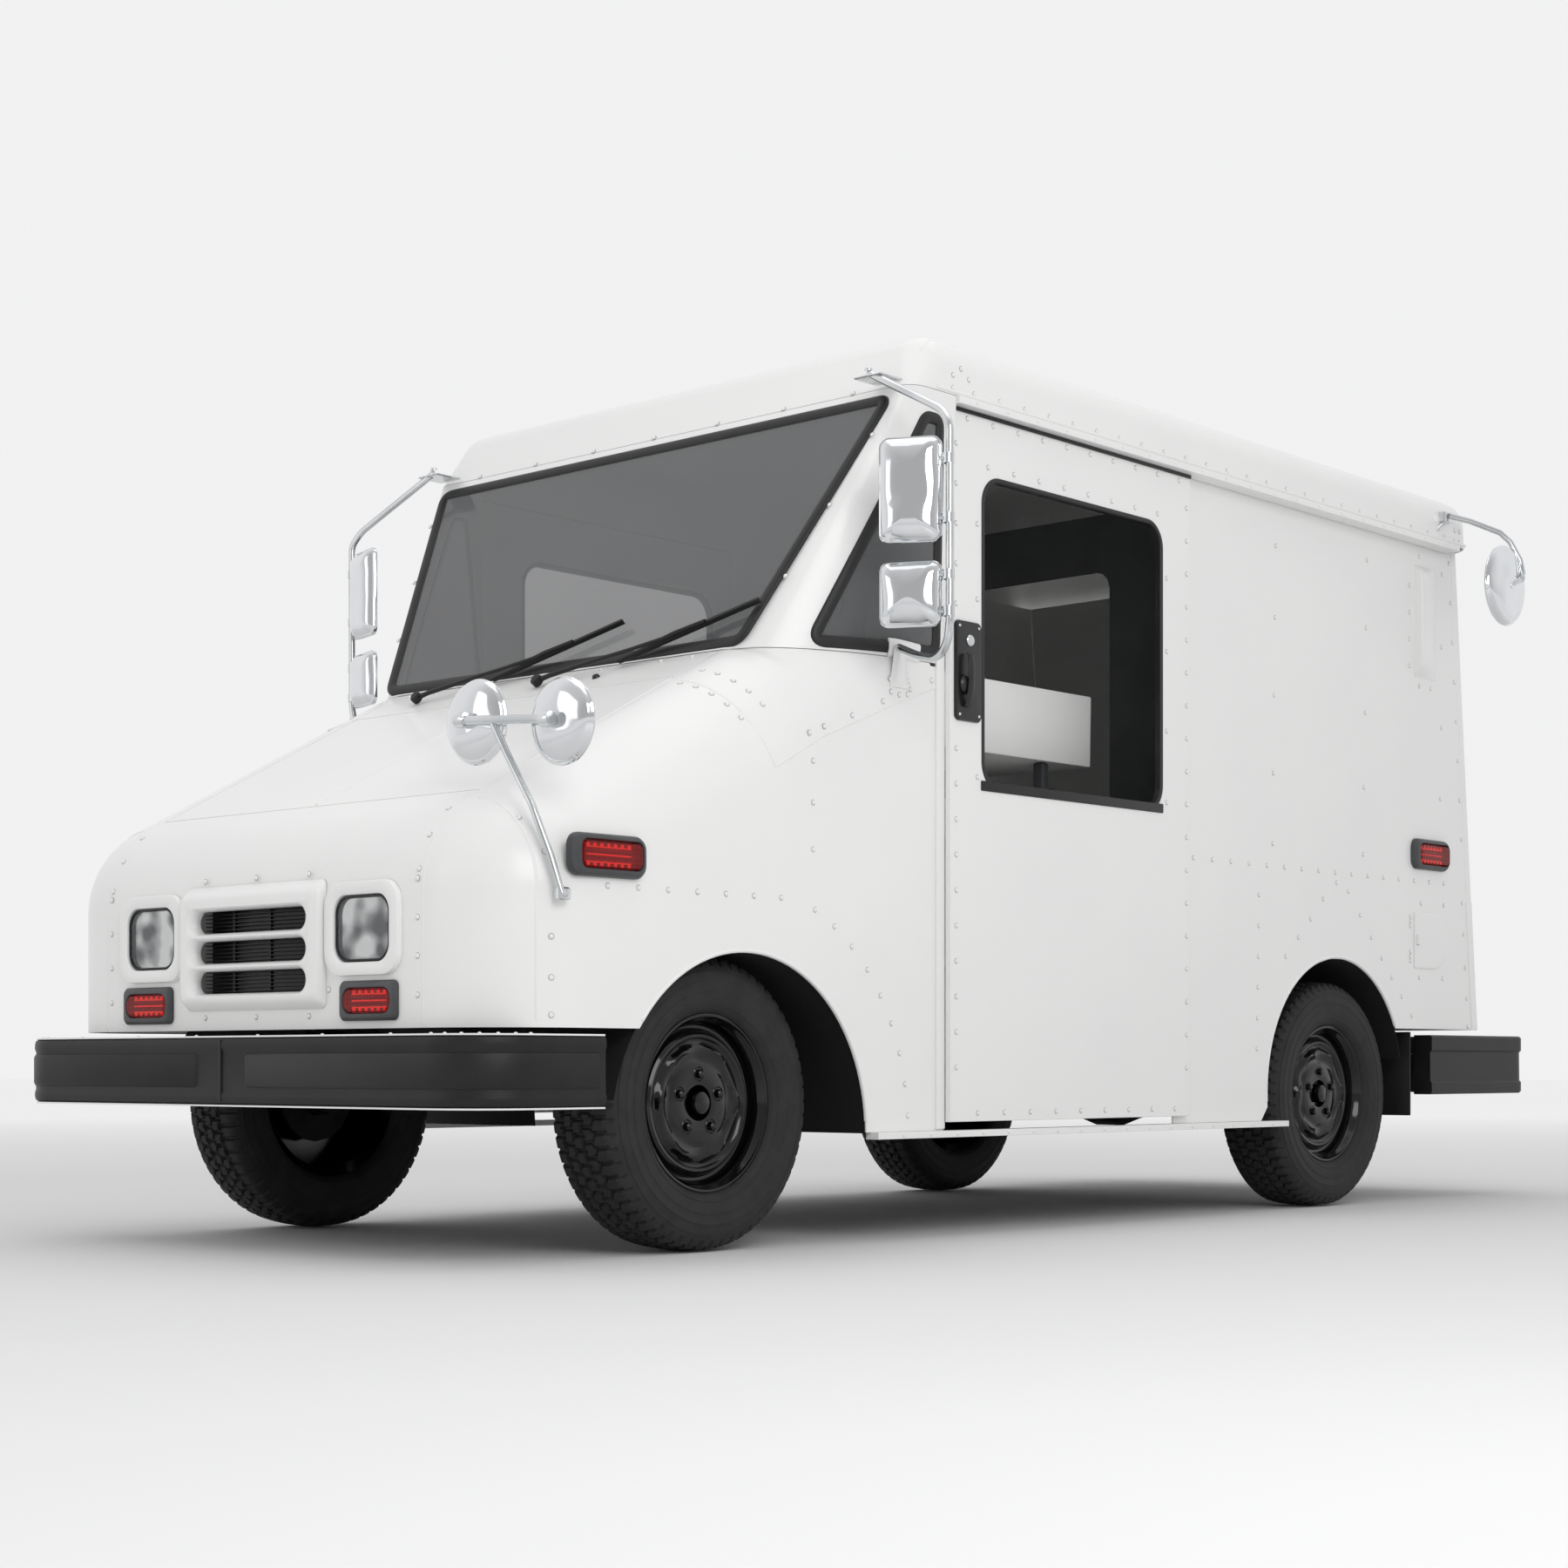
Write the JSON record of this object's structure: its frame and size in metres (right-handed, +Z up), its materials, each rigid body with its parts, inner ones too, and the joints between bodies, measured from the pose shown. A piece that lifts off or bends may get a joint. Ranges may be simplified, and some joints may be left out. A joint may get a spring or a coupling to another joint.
{
  "type": "mail delivery truck",
  "caption": "Light delivery truck with a riveted aluminium body, sliding cab doors, a sloping nose, steering front wheels, folding mirrors and wipers.",
  "frame": {"origin": "on the ground under the middle of the bounding box", "axes": "+Y to the rear (the nose points to -Y), +X to the truck's left side, +Z up"},
  "size_m": [2.119, 4.457, 2.13],
  "materials": {
    "white_body": "smooth white paint on riveted aluminium",
    "black_plastic": "fine-grained black moulding",
    "black_steel": "gloss black paint on pressed steel",
    "tyre_rubber": "matte moulded rubber",
    "tinted_glass": "smoke-tinted safety glass",
    "clear_lens": "clear lens over a bright reflector",
    "red_lens": "red moulded lens",
    "polished_steel": "polished stainless steel",
    "dark_iron": "dark castings and forgings",
    "grey_interior": "grey painted inner panels",
    "seat_vinyl": "black vinyl over foam"
  },
  "bodies": {
    "truck": {"front_panel": "white_body", "cowl_panel": "white_body", "cab_shell": "white_body", "roof_shell": "white_body", "rear_frame": "white_body", "rear_door": "white_body", "grille": "white_body", "dash_tray": "white_body", "front_fender_left": "white_body", "cargo_side_left": "white_body", "door_rail_left": "white_body", "front_fender_right": "white_body", "cargo_side_right": "white_body", "door_rail_right": "white_body", "front_bumper": "black_plastic", "rear_bumper": "black_plastic", "chassis_frame": "black_steel", "windshield_glass": "tinted_glass", "quarter_glass_left": "tinted_glass", "quarter_glass_right": "tinted_glass", "headlight_left": "clear_lens", "headlight_right": "clear_lens", "front_marker_left": "red_lens", "front_marker_right": "red_lens", "mirror_bracket_left": "polished_steel", "mirror_bracket_right": "polished_steel", "crossover_arm": "polished_steel", "side_sill_left": "polished_steel", "side_sill_right": "polished_steel", "engine_block": "dark_iron", "rear_axle": "dark_iron", "floor_pan": "grey_interior", "bulkhead": "grey_interior", "driver_seat": "seat_vinyl"},
    "hood": {"hood": "white_body"},
    "door_left": {"door_left": "white_body"},
    "handle_left": {"door_handle_left": "black_plastic"},
    "knuckle_left": {"knuckle_left": "dark_iron"},
    "wheel_front_left": {"tyre_front_left": "tyre_rubber", "rim_front_left": "black_steel"},
    "wheel_rear_left": {"tyre_rear_left": "tyre_rubber", "rim_rear_left": "black_steel"},
    "mirror_upper_left": {"mirror_upper_left": "polished_steel"},
    "mirror_lower_left": {"mirror_lower_left": "polished_steel"},
    "door_right": {"door_right": "white_body"},
    "handle_right": {"door_handle_right": "black_plastic"},
    "knuckle_right": {"knuckle_right": "dark_iron"},
    "wheel_front_right": {"tyre_front_right": "tyre_rubber", "rim_front_right": "black_steel"},
    "wheel_rear_right": {"tyre_rear_right": "tyre_rubber", "rim_rear_right": "black_steel"},
    "mirror_upper_right": {"mirror_upper_right": "polished_steel"},
    "mirror_lower_right": {"mirror_lower_right": "polished_steel"},
    "steering": {"steering_wheel": "black_plastic"},
    "twin_inner": {"twin_mirror_inner": "polished_steel"},
    "twin_outer": {"twin_mirror_outer": "polished_steel"},
    "rear_mirror": {"rear_mirror": "polished_steel"},
    "wiper_right": {"wiper_right": "black_plastic"},
    "wiper_left": {"wiper_left": "black_plastic"},
    "fuel_door": {"fuel_door": "white_body"}
  },
  "joints": [
    {"name": "hood_hinge", "type": "hinge", "parent": "truck", "child": "hood", "pos_m": [0, -1.9735, 0.98], "axis": [-1, 0, 0], "range_deg": [-42, 0]},
    {"name": "door_left_slide", "type": "slide", "parent": "truck", "child": "door_left", "axis": [0, 1, 0], "range_m": [0, 0.94]},
    {"name": "handle_left_turn", "type": "hinge", "parent": "door_left", "child": "handle_left", "pos_m": [0.8285, -0.6885, 1.31], "axis": [1, 0, 0], "range_deg": [-90, 0], "stiffness_Nm_per_rad": 0.6},
    {"name": "steer_left", "type": "hinge", "parent": "truck", "child": "knuckle_left", "pos_m": [0.6525, -1.4715, 0.324], "axis": [0, 0, 1], "range_deg": [-30, 30]},
    {"name": "roll_front_left", "type": "hinge", "parent": "knuckle_left", "child": "wheel_front_left", "pos_m": [0.6525, -1.4715, 0.324], "axis": [1, 0, 0], "continuous": true},
    {"name": "roll_rear_left", "type": "hinge", "parent": "truck", "child": "wheel_rear_left", "pos_m": [0.6825, 1.0815, 0.324], "axis": [1, 0, 0], "continuous": true},
    {"name": "mirror_upper_left_swivel", "type": "hinge", "parent": "truck", "child": "mirror_upper_left", "pos_m": [1.05, -1.0275, 1.69], "axis": [0, 0, 1], "range_deg": [-20, 20]},
    {"name": "mirror_lower_left_swivel", "type": "hinge", "parent": "truck", "child": "mirror_lower_left", "pos_m": [1.05, -1.0275, 1.457], "axis": [0, 0, 1], "range_deg": [-20, 20]},
    {"name": "door_right_slide", "type": "slide", "parent": "truck", "child": "door_right", "axis": [0, 1, 0], "range_m": [0, 0.94]},
    {"name": "handle_right_turn", "type": "hinge", "parent": "door_right", "child": "handle_right", "pos_m": [-0.8285, -0.6885, 1.31], "axis": [-1, 0, 0], "range_deg": [-90, 0], "stiffness_Nm_per_rad": 0.6},
    {"name": "steer_right", "type": "hinge", "parent": "truck", "child": "knuckle_right", "pos_m": [-0.6525, -1.4715, 0.324], "axis": [0, 0, 1], "range_deg": [-30, 30]},
    {"name": "roll_front_right", "type": "hinge", "parent": "knuckle_right", "child": "wheel_front_right", "pos_m": [-0.6525, -1.4715, 0.324], "axis": [1, 0, 0], "continuous": true},
    {"name": "roll_rear_right", "type": "hinge", "parent": "truck", "child": "wheel_rear_right", "pos_m": [-0.6825, 1.0815, 0.324], "axis": [1, 0, 0], "continuous": true},
    {"name": "mirror_upper_right_swivel", "type": "hinge", "parent": "truck", "child": "mirror_upper_right", "pos_m": [-1.05, -1.0275, 1.69], "axis": [0, 0, 1], "range_deg": [-20, 20]},
    {"name": "mirror_lower_right_swivel", "type": "hinge", "parent": "truck", "child": "mirror_lower_right", "pos_m": [-1.05, -1.0275, 1.457], "axis": [0, 0, 1], "range_deg": [-20, 20]},
    {"name": "steering_turn", "type": "hinge", "parent": "truck", "child": "steering", "pos_m": [-0.4, -0.4865, 1.185], "axis": [0, 0.7065, 0.7077], "range_deg": [-540, 540]},
    {"name": "twin_inner_swivel", "type": "hinge", "parent": "truck", "child": "twin_inner", "pos_m": [0.556, -1.9735, 1.12], "axis": [0, 0, 1], "range_deg": [-10, 10]},
    {"name": "twin_outer_swivel", "type": "hinge", "parent": "truck", "child": "twin_outer", "pos_m": [0.815, -1.9735, 1.1], "axis": [0, 0, 1], "range_deg": [-10, 10]},
    {"name": "rear_mirror_swing", "type": "hinge", "parent": "truck", "child": "rear_mirror", "pos_m": [0.86, 1.6205, 2.06], "axis": [0, 0, 1], "range_deg": [-10, 25]},
    {"name": "wiper_right_sweep", "type": "hinge", "parent": "truck", "child": "wiper_right", "pos_m": [-0.389, -1.3515, 1.3225], "axis": [0, 0.872, -0.4896], "range_deg": [-75, 0]},
    {"name": "wiper_left_sweep", "type": "hinge", "parent": "truck", "child": "wiper_left", "pos_m": [0.053, -1.3515, 1.3225], "axis": [0, 0.872, -0.4896], "range_deg": [-75, 0]},
    {"name": "fuel_door_hinge", "type": "hinge", "parent": "truck", "child": "fuel_door", "pos_m": [0.8036, 1.7115, 0.781], "axis": [0, 0, 1], "range_deg": [0, 110]}
  ],
  "couplings": [
    {"joint": "steer_left", "follows": "steering_turn", "ratio": 0.055556},
    {"joint": "steer_right", "follows": "steering_turn", "ratio": 0.055556},
    {"joint": "wiper_right_sweep", "follows": "wiper_left_sweep", "ratio": 1}
  ]
}
